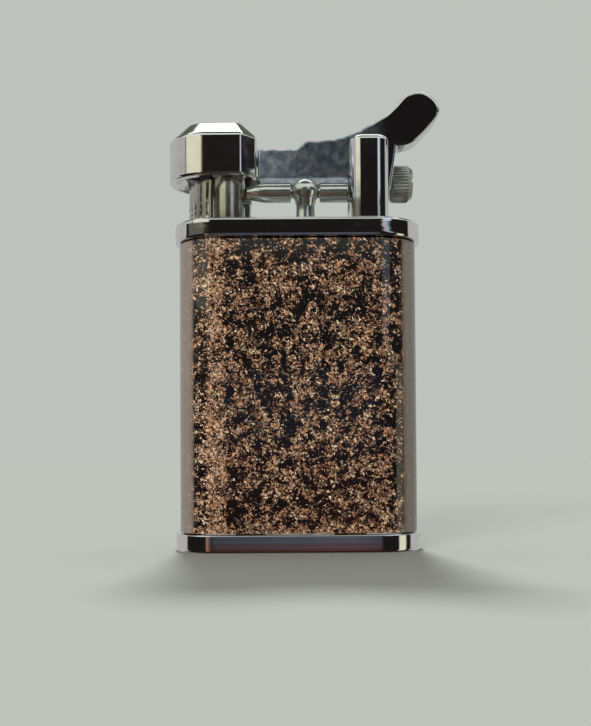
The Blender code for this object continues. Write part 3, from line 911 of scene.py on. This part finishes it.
def make_flint_screw():
    """The knurled head with its shank and a coin slot."""
    steps = HEAD_TEETH * TOOTH_STEPS
    radius = HEAD_HIGH.z - FLINT_PIVOT.z
    start, end = FLINT_PIVOT.x, HEAD_HIGH.x
    rings = [circle(SHANK_RADIUS, HEAD_LOW.x, steps), circle(SHANK_RADIUS, start, steps)]
    for inset, height, share in (
        (0.45, start, 0.4),
        (0.05, start + 0.35, 1.0),
        (0.0, start + 0.6, 1.0),
        (0.0, end - 0.85, 1.0),
        (0.15, end - 0.6, 0.5),
        (0.32, end - 0.4, 0.0),
        (0.6, end, 0.0),
    ):
        rings.append(circle(radius - inset, height, steps, HEAD_TOOTH * share, HEAD_TEETH))
    at = (0, FLINT_PIVOT.y, FLINT_PIVOT.z)
    head = put(loft("flint_screw_fine", rings, sharp=50), at, "X")
    cut(head, put(block("slot", (-0.35, -4, 16.5), (0.35, 4, 18)), at, "X"))
    finish_piece(head, KNOB, "flint_screw", "chrome", "flint_screw")


def make_spark_wheel():
    """The toothed wheel, with its teeth fading at both faces."""
    steps = WHEEL_TEETH * TOOTH_STEPS
    radius = WHEEL_HIGH.z - WHEEL_PIVOT.z
    near, far = WHEEL_LOW.y, WHEEL_HIGH.y
    rings = [circle(WHEEL_BORE, near, steps)]
    for inset, height, tooth in (
        (0.7, near, 0.0),
        (0.15, near + 0.2, 0.2),
        (0.0, near + 0.35, WHEEL_TOOTH),
        (0.0, far - 0.35, WHEEL_TOOTH),
        (0.15, far - 0.2, 0.2),
        (0.7, far, 0.0),
    ):
        rings.append(circle(radius - inset, height, steps, tooth, WHEEL_TEETH))
    rings.append(circle(WHEEL_BORE, far, steps))
    wheel = loft("spark_wheel_fine", rings, ring_closed=True, sharp=50)
    put(wheel, (WHEEL_PIVOT.x, 0, WHEEL_PIVOT.z), "Y")
    finish_piece(wheel, STEEL, "spark_wheel", "steel", "spark_wheel")


def make_flint_tube():
    """The tube that guides the flint, chamfered at both ends."""
    outer = TUBE_HIGH.z - FLINT_PIVOT.z
    low, high = TUBE_LOW.x, TUBE_HIGH.x
    profile = [(outer - 0.1, low), (outer, low + 0.1), (outer, high - 0.1), (outer - 0.1, high)]
    profile += [(FLINT_BORE, high), (FLINT_BORE, low)]
    tube = turned("flint_tube_fine", profile, (0, FLINT_PIVOT.y, FLINT_PIVOT.z), "X", hollow=True)
    finish_piece(tube, ROD, "body", "brass", "flint_tube")


# Light, floor and camera

PALE = (0.5, 0.5, 0.49)
DARK = (0.012, 0.01, 0.01)
BROWN = (0.03, 0.015, 0.012)
CREAM = (0.85, 0.82, 0.62)
OLIVE = (0.12, 0.125, 0.085)
BLUISH = (0.6, 0.66, 0.75)
SHINE = (0.85, 0.92, 0.84)
ZENITH = (1.9, 1.9, 1.85)
NONE = (0.0, 0.0, 0.0)
BACKDROP = (0.52, 0.54, 0.505)
FLOOR_COLOUR = (0.283, 0.29, 0.276)
FLOOR_REACH = 3000.0
FLOOR_TOP = -0.02
FLOOR_THICKNESS = 1.98
CAMERA_PLACE = (0.0, -138.75, 12.93)
CAMERA_TILT = 91.3
CAMERA_ROLL = 0.35
CAMERA_LENS = 47.13
SENSOR_WIDTH = 36.0
SHIFT_X = -0.0041
SHIFT_Y = 0.1039

# What each height of the room holds, as (bearing in degrees, colour) stops. 0 is the camera's side.

LOW_LEFT = [(-93, PALE), (-89, DARK), (-34, DARK)]
LOW_BELOW = [(-31, (0.4, 0.17, 0.08)), (-20, BROWN), (6, (0.1, 0.04, 0.03))]
LOW_ABOVE = [(-31, (0.3, 0.2, 0.16)), (-20, (0.035, 0.04, 0.055)), (6, (0.085, 0.105, 0.14))]
LOW_RIGHT = [(12, DARK), (52, DARK), (55, CREAM), (73, CREAM), (76, DARK), (89, DARK), (93, PALE)]
PLATE_RING = [(-92, PALE), (-89, DARK), (-84, DARK), (-78, OLIVE), (-40, OLIVE), (-30, DARK), (89, DARK)]
PLATE_RING += [(93, PALE)]
STREAK = [(50, NONE), (54, (0.5, 0.42, 0.45)), (64, (0.3, 0.42, 0.55)), (70, NONE)]
CAP_RING = [(-72, PALE), (-69, DARK), (-66, CREAM), (-24, CREAM), (-19, DARK), (14, DARK), (17, BLUISH)]
CAP_RING += [(36, BLUISH), (39, DARK), (89, DARK), (93, PALE)]


def rising(tree, height, low, high):
    """How far a direction's height is from low to high degrees, from 0 to 1."""
    return spread(tree, height, math.radians(low), math.radians(high))


def ring_of_light(tree, bearing, stops):
    """The colours all round, through (bearing in degrees, colour) stops."""
    around = spread(tree, bearing, -math.pi, math.pi)
    return ramp(tree, around, [((degrees + 180) / 360, colour) for degrees, colour in stops])


def front_room(tree, bearing, height):
    """What mirrors in front see: warm and dark low down, a cream window, then a bright ceiling."""
    below = ring_of_light(tree, bearing, LOW_LEFT + LOW_BELOW + LOW_RIGHT)
    above = ring_of_light(tree, bearing, LOW_LEFT + LOW_ABOVE + LOW_RIGHT)
    room = blended(tree, rising(tree, height, -9, -2), below, above)
    slanted = plus(tree, bearing, height, 2.6)
    streak = ring_of_light(tree, slanted, STREAK)
    plate = vector_maths(tree, "ADD", {0: ring_of_light(tree, bearing, PLATE_RING), 1: streak})
    room = blended(tree, rising(tree, height, 6.5, 7.5), room, plate)
    room = blended(tree, rising(tree, height, 15.4, 16.0), room, ring_of_light(tree, bearing, CAP_RING))
    room = blended(tree, rising(tree, height, 24, 34), room, opaque(SHINE))
    return blended(tree, rising(tree, height, 52, 60), room, opaque(DARK))


def back_room(tree, height, front):
    """The same behind, but olive and then white overhead."""
    room = blended(tree, rising(tree, height, 25, 40), front, opaque(OLIVE))
    return blended(tree, rising(tree, height, 56, 60), room, opaque(ZENITH))


def make_world():
    """Pale paper behind, a dark room in front and a cream window to the upper left."""
    world = bpy.data.worlds.new("studio")
    bpy.context.scene.world = world
    world.use_nodes = True
    tree = world.node_tree
    tree.nodes.clear()
    axes = axes_of(tree, add(tree, "ShaderNodeTexCoord").outputs["Generated"])
    bearing = maths(tree, "ARCTAN2", axes["X"], maths(tree, "MULTIPLY", axes["Y"], -1.0))
    height = maths(tree, "ARCSINE", axes["Z"])
    front = front_room(tree, bearing, height)
    room = blended(tree, spread(tree, axes["Y"], -0.1, 0.1), front, back_room(tree, height, front))
    room = blended(tree, rising(tree, height, -30, -40), room, opaque(BROWN))
    seen = add(tree, "ShaderNodeLightPath").outputs["Is Camera Ray"]
    plain = blended(tree, seen, room, opaque(BACKDROP))
    background = add(tree, "ShaderNodeBackground", {"Color": plain, "Strength": 1.0})
    add(tree, "ShaderNodeOutputWorld", {"Surface": background.outputs[0]})


def make_floor():
    """A plain pale floor. Mirrors don't see it, as the lighter's front faced a dark room."""
    low = (-FLOOR_REACH, -FLOOR_REACH, FLOOR_TOP - FLOOR_THICKNESS)
    floor = block("floor", low, (FLOOR_REACH, FLOOR_REACH, FLOOR_TOP))
    material, _, shader = new_material("floor", FLOOR_COLOUR, 0.9, 0.0)
    shader.inputs["Specular IOR Level"].default_value = 0.0
    floor.data.materials.append(material)
    floor.visible_glossy = False


def make_sun(name, source, strength, colour, softness):
    """Even light from the direction of source. Mirrors see the painted room, not the lamp."""
    lamp = bpy.data.lights.new(name, "SUN")
    lamp.energy = strength
    lamp.color = colour
    lamp.angle = math.radians(softness)
    light = bpy.data.objects.new(name, lamp)
    light.rotation_euler = (-Vector(source)).to_track_quat("-Z", "Y").to_euler()
    light.visible_glossy = False
    bpy.context.collection.objects.link(light)


def make_lights():
    make_sun("key", (-0.45, -1.0, 0.25), 3.5, (1.0, 0.97, 0.92), 30)
    make_sun("overhead", (-0.05, 0.75, 1.0), 4.0, (1.0, 1.0, 1.0), 11)


def make_camera():
    """Level with the body's lower half and close, as the photographer's lens was."""
    camera = bpy.data.objects.new("camera", bpy.data.cameras.new("camera"))
    camera.location = Vector(CAMERA_PLACE) * MM
    camera.rotation_euler = (math.radians(CAMERA_TILT), math.radians(CAMERA_ROLL), 0)
    camera.data.lens = CAMERA_LENS
    camera.data.sensor_width = SENSOR_WIDTH
    camera.data.shift_x = SHIFT_X
    camera.data.shift_y = SHIFT_Y
    camera.data.clip_start = 0.005
    camera.data.clip_end = 20.0
    bpy.context.collection.objects.link(camera)
    bpy.context.scene.camera = camera


dress_cad_nodes()
make_base_plate()
make_top_plate()
make_wrap()
make_burner_sleeve()
make_wind_guard()
make_arm_post()
make_snuffer()
make_lift_arm()
make_gas_lever()
make_gas_lever_post()
make_flint_screw()
make_spark_wheel()
make_flint_tube()
make_world()
make_floor()
make_lights()
make_camera()
bpy.context.scene.view_settings.view_transform = "Standard"
